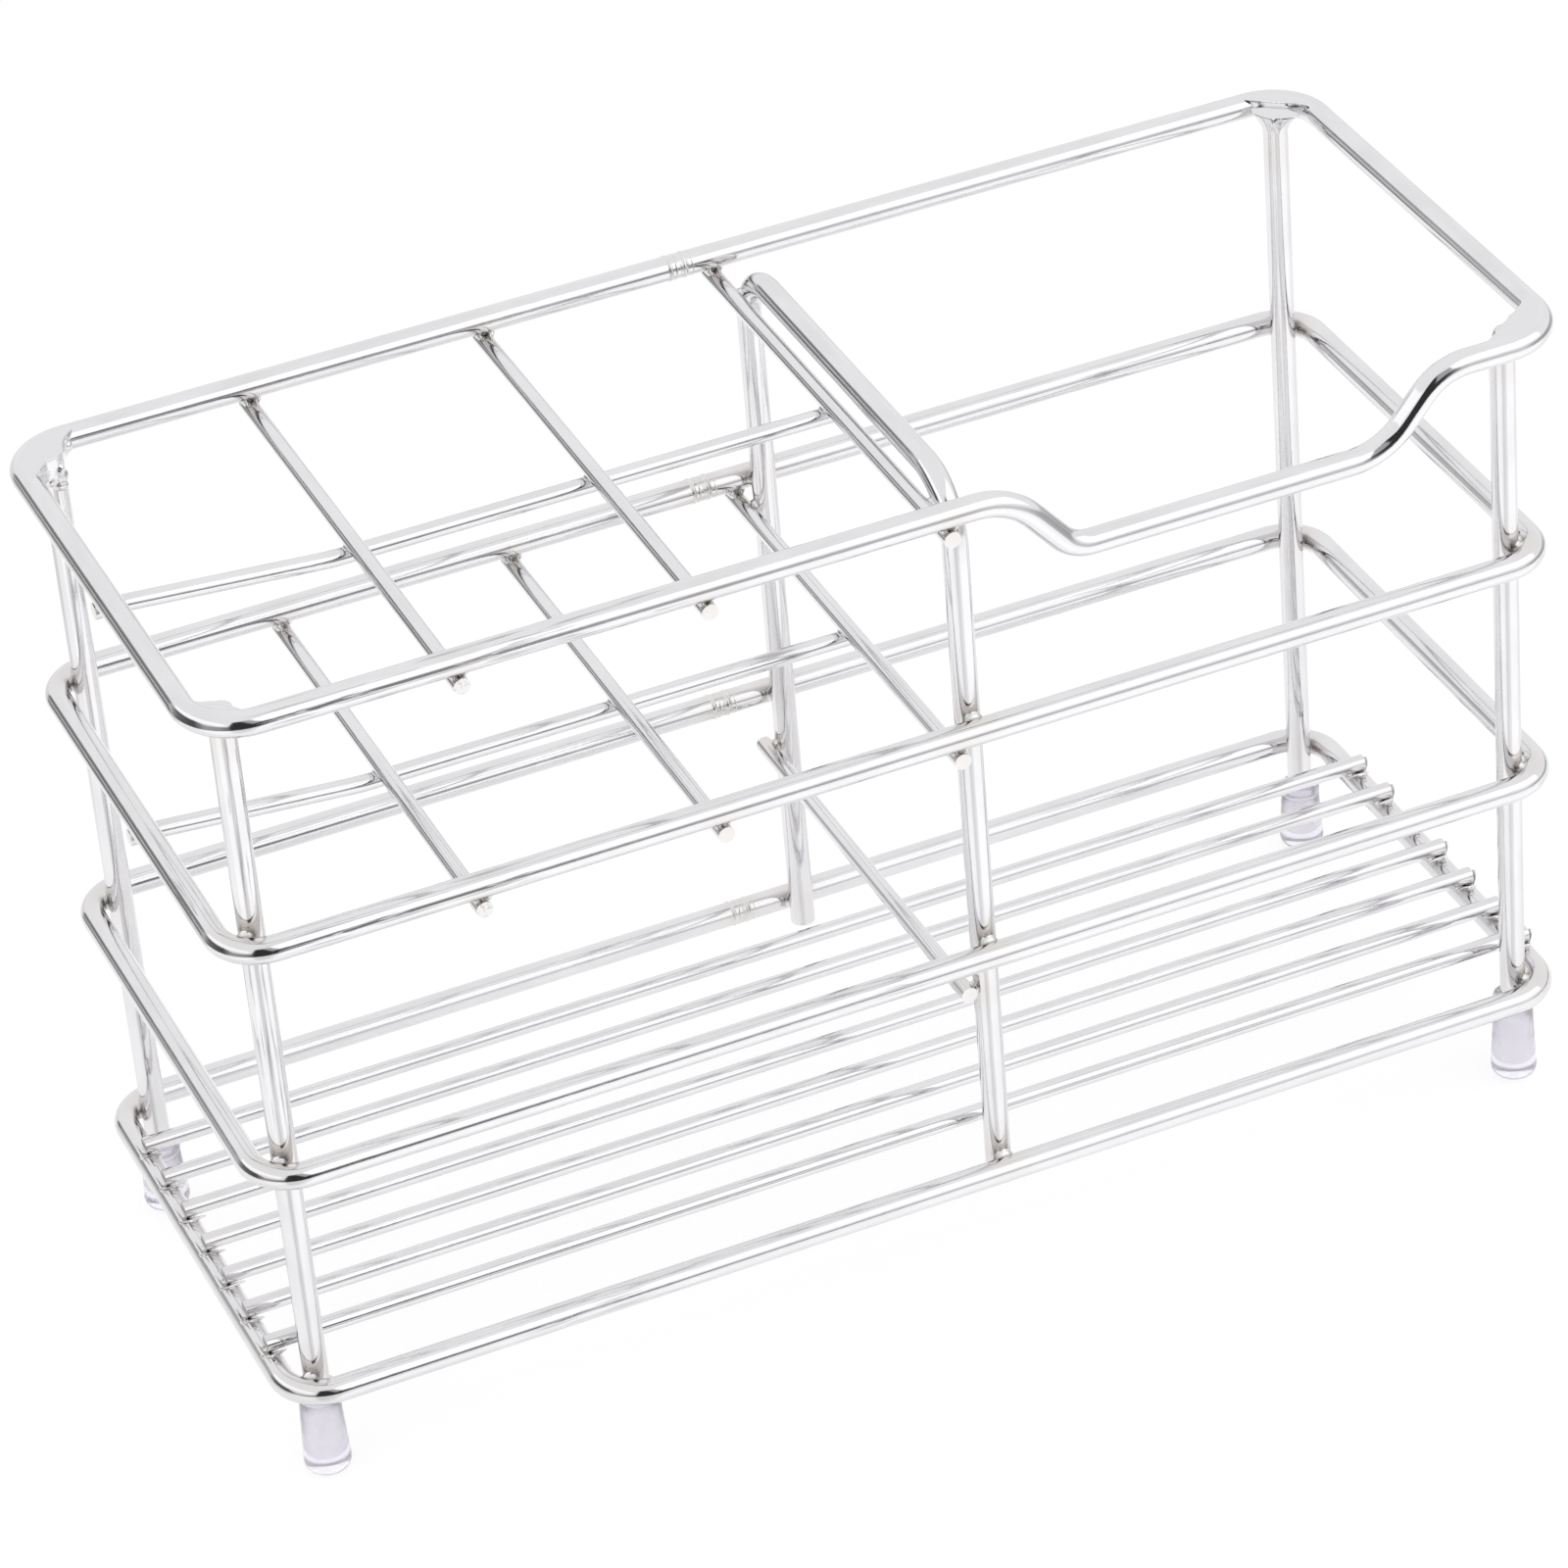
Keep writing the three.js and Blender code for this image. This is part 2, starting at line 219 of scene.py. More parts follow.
white = add_node(tree, "ShaderNodeMix", {0: ray["Is Transmission Ray"], 2: white, 3: 1.0}).outputs[0]
white = add_node(tree, "ShaderNodeEmission", {"Strength": white}).outputs[0]
matt = add_node(tree, "ShaderNodeBsdfDiffuse", {"Color": (table_shade,) * 3 + (1,)}).outputs[0]
plain = add_node(tree, "ShaderNodeAddShader", {0: matt, 1: white}).outputs[0]
# In the wires the table's own gloss shows: it doubles the soft box and the dark under the camera
glow = add_node(tree, "ShaderNodeEmission", {"Strength": glow}).outputs[0]
gloss = add_node(tree, "ShaderNodeBsdfGlossy", {
    "Color": (table_gloss,) * 3 + (1,), "Roughness": table_blur}).outputs[0]
mirrored = add_node(tree, "ShaderNodeAddShader", {0: glow, 1: gloss}).outputs[0]
mirrored = add_node(tree, "ShaderNodeAddShader", {0: mirrored, 1: matt}).outputs[0]
metal = add_node(tree, "ShaderNodeMath", {0: ray["Is Glossy Ray"], 1: ray["Is Transmission Ray"]},
                 operation="SUBTRACT", use_clamp=True).outputs[0]
both = add_node(tree, "ShaderNodeMixShader", {0: metal, 1: plain, 2: mirrored}).outputs[0]
add_node(tree, "ShaderNodeOutputMaterial", {"Surface": both})
table.data.materials.append(paint)

# A big soft box at the front right, and a long low one at the left
box_distance = 1.4
for box_way, box_size, box_glow in (
    (Vector((0.45, -0.64, 0.62)), (2.3, 1.0), 0.4),
    (Vector((-0.857, 0, 0.515)), (2.4, 0.42), 0.3),
):
    box_way.normalize()
    bpy.ops.object.light_add(type="AREA", location=view_aim + box_way * box_distance)
    soft_box = bpy.context.object
    soft_box.rotation_euler = box_way.to_track_quat("Z", "Y").to_euler()
    soft_box.data.shape = "RECTANGLE"
    soft_box.data.size, soft_box.data.size_y = box_size
    soft_box.data.energy = box_glow * math.pi * box_size[0] * box_size[1]


# Rings: three loops of heavy stainless wire, bent round at the corners and closed by a butt weld in
# the middle of the back run. The posts stand in their corners.
heavy_wire = 3.75
light_wire = 2.5
ring_left, ring_right = -100.6, 99.4
ring_front, ring_back = -38.85, 39.85
ring_bend = 6.5
ring_heights = {"base_ring": 16.5, "lower_ring": 54.6, "upper_ring": 92.7}
butt_x = 0.9  # where the two ends of a loop meet
wire_step = 2 * mm  # the longest edge along a wire
bend_step = 6  # degrees between two sections round a bend
halvings = 7  # of a run's edges, enough for the longest
end_round = 0.12  # how far a cut end is rounded, as a share of the wire
stub_thinner = 0.1  # how much thinner than its wire a length in a weld is


def draw_wire(name, corners, bends, diameter, closed=False):
    """A wire drawn along its corners, in mm: a round section is extruded along each run and spun
    round each bend. Each point also keeps where it would lie if the wire were pulled straight."""
    corners = [Vector(corner) * mm for corner in corners]
    facets = 28 if diameter == heavy_wire else 20
    heading = (corners[1] - corners[0]).normalized()
    bpy.ops.object.select_all(action="DESELECT")
    bpy.ops.mesh.primitive_circle_add(
        vertices=facets, radius=diameter / 2 * mm, location=corners[0],
        rotation=heading.to_track_quat("Z", "Y").to_euler())
    wire = bpy.context.object
    wire.name = wire.data.name = name
    bpy.ops.object.transform_apply(location=True, rotation=True, scale=True)
    bpy.ops.object.mode_set(mode="EDIT")
    bpy.ops.mesh.select_all(action="SELECT")
    spot = corners[0]
    side = heading.orthogonal().normalized()
    line = []
    for corner, after, bend in zip(corners[1:], corners[2:] + [None], [*bends, 0]):
        out = (after - corner).normalized() if after else heading
        angle = heading.angle(out)
        run_end = corner - heading * (bend * mm * math.tan(angle / 2))
        bpy.ops.mesh.extrude_region_move(TRANSFORM_OT_translate={"value": run_end - spot})
        steps = max(2, round((run_end - spot).length / wire_step))
        line += [(spot.lerp(run_end, step / steps), heading.copy(), side.copy()) for step in range(steps)]
        spot = run_end
        if angle > 1e-4:
            axis = heading.cross(out).normalized()
            inward = axis.cross(heading)
            centre = spot + inward * bend * mm
            steps = max(5, round(math.degrees(angle) / bend_step))
            bpy.ops.mesh.spin(steps=steps, angle=-angle, center=centre, axis=axis)
            for step in range(steps):
                part = Quaternion(axis, angle * step / steps)
                line.append((centre + part @ (spot - centre), part @ heading, part @ side))
            whole = Quaternion(axis, angle)
            spot, heading, side = centre + whole @ (spot - centre), out, whole @ side
    line.append((spot, heading, side))
    for halving in range(halvings):
        net = bmesh.from_edit_mesh(wire.data)
        for edge in net.edges:
            edge.select_set(edge.calc_length() > wire_step)
        bmesh.update_edit_mesh(wire.data)
        if any(edge.select for edge in net.edges):
            bpy.ops.mesh.subdivide(number_cuts=1)
    bpy.ops.mesh.select_all(action="SELECT")
    bpy.ops.mesh.remove_doubles(threshold=0.002 * mm)
    if not closed:
        bpy.ops.mesh.fill_holes(sides=0)
        net = bmesh.from_edit_mesh(wire.data)
        for edge in net.edges:
            edge.select_set(any(len(face.verts) > 4 for face in edge.link_faces))
        bmesh.update_edit_mesh(wire.data)
        bpy.ops.mesh.bevel(offset=end_round * diameter * mm, segments=3, affect="EDGES")
        bpy.ops.mesh.select_all(action="SELECT")
    bpy.ops.mesh.normals_make_consistent(inside=False)
    bpy.ops.object.mode_set(mode="OBJECT")
    bpy.ops.object.shade_smooth_by_angle(angle=math.radians(50))
    points = np.array([v.co for v in wire.data.vertices])
    spots, headings, sides = (np.array([station[i] for station in line]) for i in range(3))
    arcs = np.concatenate([[0], np.cumsum(np.linalg.norm(np.diff(spots, axis=0), axis=1))])
    near = np.array([np.argmin(((spots - point) ** 2).sum(1)) for point in points])
    offset = points - spots[near]
    ups = np.cross(headings, sides)[near]
    pulled = np.stack([
        arcs[near] + (offset * headings[near]).sum(1),
        (offset * sides[near]).sum(1),
        (offset * ups).sum(1),
    ], axis=1)
    straight = wire.data.attributes.new("straight", "FLOAT_VECTOR", "POINT")
    straight.data.foreach_set("vector", pulled.astype(np.float32).ravel())
    return wire


def polished_stainless():
    """Drawn 304 stainless wire, barrel polished after welding: bright and nearly mirror-like, with
    faint draw lines along the wire that stretch what it reflects."""
    steel, tree = blank_material("polished_stainless")
    straight = add_node(tree, "ShaderNodeAttribute", attribute_name="straight").outputs["Vector"]
    # Draw lines are about 0.05 mm apart, and drawn four times as coarse to show; 40 mm long
    lines = add_node(tree, "ShaderNodeMapping", {"Vector": straight, "Scale": (25, 5000, 5000)}).outputs[0]
    lines = add_node(tree, "ShaderNodeTexNoise", {"Vector": lines, "Scale": 1.0, "Detail": 2.0}).outputs[0]
    rough = add_node(tree, "ShaderNodeMapRange", {0: lines, 3: 0.06, 4: 0.14}).outputs[0]
    bump = add_node(tree, "ShaderNodeBump", {
        "Height": lines, "Strength": 0.04, "Distance": 0.02 * mm}).outputs[0]
    # Tumbling leaves shallow dents some 2 mm long and 0.6 mm wide, in patches, that break its lines up
    dents = add_node(tree, "ShaderNodeMapping", {"Vector": straight, "Scale": (450, 1600, 1600)}).outputs[0]
    dents = add_node(tree, "ShaderNodeTexNoise", {"Vector": dents, "Scale": 1.0, "Detail": 2.0}).outputs[0]
    dented = add_node(tree, "ShaderNodeMapping", {"Vector": straight, "Scale": (60, 60, 60)}).outputs[0]
    dented = add_node(tree, "ShaderNodeTexNoise", {
        "Vector": dented, "Scale": 1.0, "Detail": 1.0}).outputs[0]
    dented = add_node(tree, "ShaderNodeMapRange", {0: dented, 1: 0.42, 2: 0.62}).outputs[0]
    dents = add_node(tree, "ShaderNodeMath", {0: dents, 1: dented}, operation="MULTIPLY").outputs[0]
    bump = add_node(tree, "ShaderNodeBump", {
        "Height": dents, "Strength": 0.3, "Distance": 0.05 * mm, "Normal": bump}).outputs[0]
    # Scratches from handling are about 0.1 mm wide and 15 mm long, and drawn some three times as wide.
    # They are rougher and dented, and their colour is darkened as a painted reflection of the dark they
    # show
    marks = add_node(tree, "ShaderNodeMapping", {"Vector": straight, "Scale": (65, 2200, 2200)}).outputs[0]
    marks = add_node(tree, "ShaderNodeTexNoise", {"Vector": marks, "Scale": 1.0, "Detail": 2.0}).outputs[0]
    marks = add_node(tree, "ShaderNodeMapRange", {0: marks, 1: 0.57, 2: 0.62}).outputs[0]
    scuffed_and_painted_dark = add_node(tree, "ShaderNodeAttribute", attribute_name="scuffed_and_painted_dark").outputs["Fac"]
    marks = add_node(tree, "ShaderNodeMath", {0: marks, 1: scuffed_and_painted_dark}, operation="MULTIPLY").outputs[0]
    rough = add_node(tree, "ShaderNodeMath", {
        0: marks, 1: 0.15, 2: rough}, operation="MULTIPLY_ADD").outputs[0]
    bump = add_node(tree, "ShaderNodeBump", {
        "Height": marks, "Strength": 0.6, "Distance": -0.06 * mm, "Normal": bump}).outputs[0]
    # The polish leaves dull and bright patches some 9 mm long
    patch = add_node(tree, "ShaderNodeMapping", {"Vector": straight, "Scale": (110, 400, 400)}).outputs[0]
    patch = add_node(tree, "ShaderNodeTexNoise", {"Vector": patch, "Scale": 1.0, "Detail": 3.0}).outputs[0]
    colour = add_node(tree, "ShaderNodeValToRGB", {0: patch}, [
        (0.35, linear("#dfdee0")), (0.65, linear("#e5e4e6"))]).outputs[0]
    heat = add_node(tree, "ShaderNodeAttribute", attribute_name="weld_heat").outputs["Fac"]
    # The film is broken up by the polish, straw where it is thin and brown where it is thick
    film = add_node(tree, "ShaderNodeMapRange", {0: patch, 1: 0.3, 2: 0.6, 3: 0.35, 4: 1.0}).outputs[0]
    heat = add_node(tree, "ShaderNodeMath", {0: heat, 1: film}, operation="MULTIPLY").outputs[0]
    film = add_node(tree, "ShaderNodeValToRGB", {0: heat}, [
        (0.25, linear("#c9bda6")), (0.7, linear("#6d5f50"))]).outputs[0]
    colour = add_node(tree, "ShaderNodeMix", {0: heat, 6: colour, 7: film}, data_type="RGBA").outputs[2]
    # Painted dark reflection: the scratches' colour goes dark grey
    colour = add_node(tree, "ShaderNodeMix", {
        0: marks, 6: colour, 7: linear("#8f8d91")}, data_type="RGBA").outputs[2]
    # Painted shade and dark reflection: the colour goes near black in the welds' corners, under their fins
    # and round the back right flare
    painted_shade = add_node(tree, "ShaderNodeAttribute", attribute_name="painted_shade").outputs["Fac"]
    colour = add_node(tree, "ShaderNodeMix", {
        0: painted_shade, 6: colour, 7: linear("#343230")}, data_type="RGBA").outputs[2]
    shader = add_node(tree, "ShaderNodeBsdfPrincipled", {
        "Base Color": colour, "Metallic": 1.0, "Roughness": rough, "Normal": bump}).outputs[0]
    add_node(tree, "ShaderNodeOutputMaterial", {"Surface": shader})
    return steel


stainless = polished_stainless()


def join_rack(piece, slot, material, *nodes):
    """A finished piece rides on the rack's one body, in place of its CAD nodes."""
    piece.data.materials.clear()
    piece.data.materials.append(material)
    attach(piece, "root")
    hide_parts(*nodes)


def melt_weld(name, stubs, beads=(), plates=(), grain=0.16, melting=12, share=0.3):
    """Weld metal: short lengths of the meeting wires, thin enough to hide in them, beads of filler and
    flat plates get one skin, which is melted smooth, so that it stands proud only where they meet."""
    lumps = []
    for corners, bends, diameter in stubs:
        lumps.append(draw_wire("stub", corners, bends, diameter - stub_thinner))
    for centre, size, turn in beads:
        bpy.ops.object.select_all(action="DESELECT")
        bpy.ops.mesh.primitive_ico_sphere_add(
            subdivisions=3, radius=mm, location=Vector(centre) * mm, scale=size, rotation=turn)
        bpy.ops.object.transform_apply(location=True, rotation=True, scale=True)
        lumps.append(bpy.context.object)
    for outline, low, high in plates:
        bpy.ops.object.select_all(action="DESELECT")
        bpy.ops.mesh.primitive_circle_add(vertices=len(outline), radius=mm, fill_type="NGON")
        plate = bpy.context.object
        for vertex, (x, y) in zip(plate.data.vertices, outline):
            vertex.co = Vector((x, y, low)) * mm
        bpy.ops.object.mode_set(mode="EDIT")
        bpy.ops.mesh.select_all(action="SELECT")
        bpy.ops.mesh.extrude_region_move(TRANSFORM_OT_translate={"value": (0, 0, (high - low) * mm)})
        bpy.ops.mesh.select_all(action="SELECT")
        bpy.ops.mesh.normals_make_consistent(inside=False)
        bpy.ops.object.mode_set(mode="OBJECT")
        lumps.append(plate)
    bpy.ops.object.select_all(action="DESELECT")
    for lump in lumps:
        lump.select_set(True)
    bpy.context.view_layer.objects.active = lumps[0]
    bpy.ops.object.join()
    weld = bpy.context.object
    weld.name = weld.data.name = name
    for kind, settings in (
        ("REMESH", {"mode": "VOXEL", "voxel_size": grain * mm}),
        ("SMOOTH", {"factor": 0.5, "iterations": melting}),
        ("DECIMATE", {"ratio": share}),
    ):
        modifier = weld.modifiers.new(kind.lower(), kind)
        for setting, value in settings.items():
            setattr(modifier, setting, value)
        bpy.ops.object.modifier_apply(modifier=modifier.name)
    bpy.ops.object.shade_smooth()
    return weld


def butt_weld(y, height):
    """The stub and the uneven beads of a butt weld across a loop's back run."""
    stub = ([(butt_x - 4.5, y, height), (butt_x + 4.5, y, height)], [], heavy_wire)
    beads = [
        ((butt_x - 1.5, y - 0.02, height + 0.01), (0.75, 2.06, 2.05), (0, 0, 0.06)),
        ((butt_x - 0.55, y + 0.01, height - 0.03), (0.5, 2.0, 1.99), (0, 0.1, 0)),
        ((butt_x + 0.95, y - 0.03, height + 0.02), (0.8, 2.05, 2.06), (0, 0, -0.1)),
        ((butt_x + 1.9, y + 0.02, height - 0.02), (0.45, 1.98, 1.97), (0, 0, 0.05)),
    ]
    return stub, beads


def polished_weld():
    """Weld metal, tumbled with the wire: the same steel, but uneven, with small pits and a trace of
    straw colour left by the heat."""
    steel, tree = blank_material("polished_weld_metal")
    place = add_node(tree, "ShaderNodeTexCoord").outputs["Object"]
    # Ripples about 0.8 mm apart, and pits about 0.3 mm across
    ripple = add_node(tree, "ShaderNodeTexNoise", {
        "Vector": place, "Scale": 1250.0, "Detail": 3.0}).outputs[0]
    pits = add_node(tree, "ShaderNodeTexVoronoi", {"Vector": place, "Scale": 900.0}).outputs["Distance"]
    pits = add_node(tree, "ShaderNodeMapRange", {0: pits, 1: 0.08, 2: 0.22}).outputs[0]
    relief = add_node(tree, "ShaderNodeMath", {0: ripple, 1: pits}, operation="MULTIPLY").outputs[0]
    bump = add_node(tree, "ShaderNodeBump", {
        "Height": relief, "Strength": 0.35, "Distance": 0.12 * mm}).outputs[0]
    rough = add_node(tree, "ShaderNodeMapRange", {0: ripple, 3: 0.12, 4: 0.3}).outputs[0]
    colour = add_node(tree, "ShaderNodeValToRGB", {0: ripple}, [
        (0.3, linear("#d9d7d4")), (0.5, linear("#e2e1e1")), (0.75, linear("#e6e5e7"))]).outputs[0]
    # Painted shade and dark reflection: the colour goes near black in the welds' corners, under their fins
    # and round the back right flare
    painted_shade = add_node(tree, "ShaderNodeAttribute", attribute_name="painted_shade").outputs["Fac"]
    colour = add_node(tree, "ShaderNodeMix", {
        0: painted_shade, 6: colour, 7: linear("#343230")}, data_type="RGBA").outputs[2]
    shader = add_node(tree, "ShaderNodeBsdfPrincipled", {
        "Base Color": colour, "Metallic": 1.0, "Roughness": rough, "Normal": bump}).outputs[0]
    add_node(tree, "ShaderNodeOutputMaterial", {"Surface": shader})
    return steel


weld_metal = polished_weld()
# Marks on the steel, each with its place, strength and reach: the tint of the welding heat, painted
# shade in the welds' corners and under their fins, and scratches from handling, with a painted dark
# reflection in them
heat_spots, painted_shade_spots = [], []
scuffs_and_painted_dark = [((x, ring_front, ring_heights["upper_ring"]), 0.7, 10) for x in (-88, -76, -64)]
scuffs_and_painted_dark += [((ring_left, y, ring_heights["upper_ring"]), 0.8, 8) for y in (-28, -20)]
scuffs_and_painted_dark += [((x, ring_front, ring_heights["lower_ring"]), 0.5, 8) for x in (-4, 8)]
scuffs_and_painted_dark += [((x, ring_front, ring_heights["base_ring"]), 0.5, 9) for x in (-62, -52, -42)]

for node, height in ring_heights.items():
    ring = draw_wire(f"{node}_wire", [
        (butt_x, ring_back, height),
        (ring_left, ring_back, height),
        (ring_left, ring_front, height),
        (ring_right, ring_front, height),
        (ring_right, ring_back, height),
        (butt_x, ring_back, height),
    ], [ring_bend] * 4, heavy_wire, closed=True)
    join_rack(ring, "heavy_wire", stainless, node)
    stub, beads = butt_weld(ring_back, height)
    weld = melt_weld(f"{node}_butt_weld", [stub], beads, grain=0.12, melting=8)
    join_rack(weld, "heavy_wire", weld_metal, node)
    heat_spots.append(((butt_x, ring_back, height), 0.5, 6))

# Posts: four straight heavy wires inside the rings' corners, welded where they touch. Their lower
# ends are in the feet and their upper ends under the rim's corners.
post_x = {"left": -95.974, "right": 94.774}
post_y = {"front": -34.224, "back": 35.224}
post_bottom, post_top = 2.9, 128.6
post_tops = {"post_front_right": 126.9}  # sits a little deeper, under its web
weld_reach = 4  # how much of a straight wire is taken into a weld, to each side
ring_run = 9  # how much of a ring's two runs, at a corner
for side, y in post_y.items():
    for end, x in post_x.items():
        node = f"post_{side}_{end}"
        end_height = post_tops.get(node, post_top)
        post = draw_wire(f"{node}_wire", [(x, y, post_bottom), (x, y, end_height)], [], heavy_wire)
        join_rack(post, "heavy_wire", stainless, node)
        corner = Vector((
            ring_left if end == "left" else ring_right, ring_front if side == "front" else ring_back))
        inward = Vector((1 if end == "left" else -1, 1 if side == "front" else -1))
        touch = Vector((x, y)) - inward.normalized() * heavy_wire / 2
        tint = 0.5 if node == "post_front_left" else 0.4
        stubs, beads = [], []
        for height in ring_heights.values():
            stubs += [
                ([(corner.x, corner.y + inward.y * ring_run, height), (corner.x, corner.y, height),
                  (corner.x + inward.x * ring_run, corner.y, height)], [ring_bend], heavy_wire),
                ([(x, y, height - weld_reach), (x, y, height + weld_reach)], [], heavy_wire),
            ]
            beads.append((
                (touch.x, touch.y, height + 0.3), (0.7, 1.3, 1.4), (0, 0, math.atan2(inward.y, inward.x))))
            heat_spots.append(((touch.x, touch.y, height + 1.5), tint, 6))
            # Painted shade in the narrow corners beside the bead, above the ring
            beside = Vector((-inward.y, inward.x)).normalized() * 1.35
            for way in (-1, 1):
                painted_shade_spots.append((
                    (touch.x + way * beside.x, touch.y + way * beside.y, height + 1.1), 0.9, 1.3))
        weld = melt_weld(f"{node}_welds", stubs, beads, melting=8)
        join_rack(weld, "heavy_wire", weld_metal)

scuffs_and_painted_dark += [((post_x["left"], post_y["front"], height), 0.8, 9) for height in (66, 76, 86, 104, 114, 122)]

# Divider: a heavy wire bent to an upside-down U between the slots and the bay, welded inside the
# front and back runs of the rings.
hoop_x = 9.725
hoop_front, hoop_back = -35.0, 36.0
hoop_bottom, rim_height = 14.3, 130.0
hoop_bend = 9
hoop = draw_wire("divider_hoop_wire", [
    (hoop_x, hoop_front, hoop_bottom),
    (hoop_x, hoop_front, rim_height),
    (hoop_x, hoop_back, rim_height),
    (hoop_x, hoop_back, hoop_bottom),
], [hoop_bend] * 2, heavy_wire)
join_rack(hoop, "heavy_wire", stainless, "divider_hoop")
stubs, beads = [], []
for leg_y, ring_y in ((hoop_front, ring_front), (hoop_back, ring_back)):
    for height in ring_heights.values():
        low = max(height - weld_reach, hoop_bottom + 0.4)
        stubs += [
            ([(hoop_x - weld_reach, ring_y, height),
              (hoop_x + weld_reach, ring_y, height)], [], heavy_wire),
            ([(hoop_x, leg_y, low), (hoop_x, leg_y, height + weld_reach)], [], heavy_wire),
        ]
        touch_y = (leg_y + ring_y) / 2
        beads.append(((hoop_x, touch_y, height + 0.2), (1.7, 0.8, 1.7), (0, 0, 0)))
        heat_spots.append(((hoop_x, touch_y, height + 1.5), 0.5, 6))
        # Painted shade in the corners beside the bead
        for way in (-1, 1):
            painted_shade_spots.append(((hoop_x + way * 1.5, touch_y, height + 1.0), 0.8, 1.2))
weld = melt_weld("divider_hoop_welds", stubs, beads)
join_rack(weld, "heavy_wire", weld_metal)

# Floor slats: seven thin wires along the length, their ends pressed and welded on the base ring's
# two short runs.
slat_left, slat_right = -101.0, 100.3
slat_height = 19.725
ring_height = ring_heights["base_ring"]
seam_height = 18.4  # where the slats touch the ring
slat_run = 3.2  # how much of the ring is taken into a slat's weld, to each side
chance = np.random.default_rng(7)
welds = {"left": ([], []), "right": ([], [])}
for slat in range(1, 8):
    node = f"floor_slat_{slat}"
    low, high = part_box(node)
    y = (low.y + high.y) / 2 / mm
    wire = draw_wire(f"{node}_wire", [
        (slat_left, y, slat_height), (slat_right, y, slat_height)], [], light_wire)
    join_rack(wire, "light_wire", stainless, node)
    for end, ring_x, way in (("left", ring_left, 1), ("right", ring_right, -1)):
        stubs, beads = welds[end]
        stubs += [
            ([(ring_x - way * 0.35, y, slat_height),
              (ring_x + way * weld_reach, y, slat_height)], [], light_wire),
            ([(ring_x, y - slat_run, ring_height), (ring_x, y + slat_run, ring_height)], [], heavy_wire),
        ]
        # A thin curtain of metal that ran down over the ring from the slat's end, and fins of flash
        # along its sides, more of it at the front
        beads.append((
            (ring_x - way * 1.2, y + chance.uniform(-0.2, 0.2), seam_height + 0.4), (0.26, 0.9, 1.65),
            (0, -way * 0.3, chance.uniform(-0.25, 0.25))))
        beads.append(((ring_x - way * 0.8, y - 0.3, seam_height - 0.4), (0.6, 0.8, 0.5), (0, 0, 0)))
        for side, fin in ((-1, 1.0), (1, 0.55)):
            beads.append((
                (ring_x + way * chance.uniform(0.3, 0.9), y + side * 1.15,
                 seam_height + chance.uniform(-0.1, 0.1)),
                (chance.uniform(1.5, 2.1) * fin, 0.24, 0.3), (0, 0, chance.uniform(-0.25, 0.25))))
        heat_spots.append(((ring_x, y, seam_height), 0.22, 4.5))
        # Painted shade behind the curtain and under the front fin
        painted_shade_spots.append(((ring_x - way * 0.75, y - 0.7, seam_height + 1.2), 0.9, 1.0))
        painted_shade_spots.append(((ring_x + way * 0.9, y - 1.3, seam_height - 0.65), 0.8, 1.0))
for end, (stubs, beads) in welds.items():
    weld = melt_weld(f"floor_slat_{end}_welds", stubs, beads, grain=0.09, melting=3, share=0.25)
    join_rack(weld, "light_wire", weld_metal)

# Rim: a heavy wire loop, a little longer and deeper than the rings, whose front run dips over the
# wide bay so that fingers can reach in.
rim_left, rim_right = -100.6, 100.6
rim_front, rim_back = -40.7, 40.7
rim_bend = 8
dip_left, dip_right = 15.625, 81.5
dip_run, dip_floor = 9.062, 119.2
dip_bends = [11, 6, 11, 9]  # from left to right
rim = draw_wire("top_rim_wire", [
    (butt_x, rim_back, rim_height),
    (rim_left, rim_back, rim_height),
    (rim_left, rim_front, rim_height),
    (dip_left, rim_front, rim_height),
    (dip_left + dip_run, rim_front, dip_floor),
    (dip_right - dip_run, rim_front, dip_floor),
    (dip_right, rim_front, rim_height),
    (rim_right, rim_front, rim_height),
    (rim_right, rim_back, rim_height),
    (butt_x, rim_back, rim_height),
], [rim_bend] * 2 + dip_bends + [rim_bend] * 2, heavy_wire, closed=True)
join_rack(rim, "heavy_wire", stainless, "top_rim")
scuffs_and_painted_dark += [((x, rim_front, rim_height), 0.7, 9) for x in (-88, -78, -68, -58, -48, -38)]
stub, beads = butt_weld(rim_back, rim_height)
weld = melt_weld("top_rim_butt_weld", [stub], beads, grain=0.12, melting=8)
join_rack(weld, "heavy_wire", weld_metal, "top_rim")

# Rim corners: each post's end is welded into the bend of the rim, and the pool between them is ground
# to a flat web and polished with the wire. No two are alike.
web_run = 14  # how much of each run is taken into the weld
web_low, web_top = 122, 129.4  # the same of the post
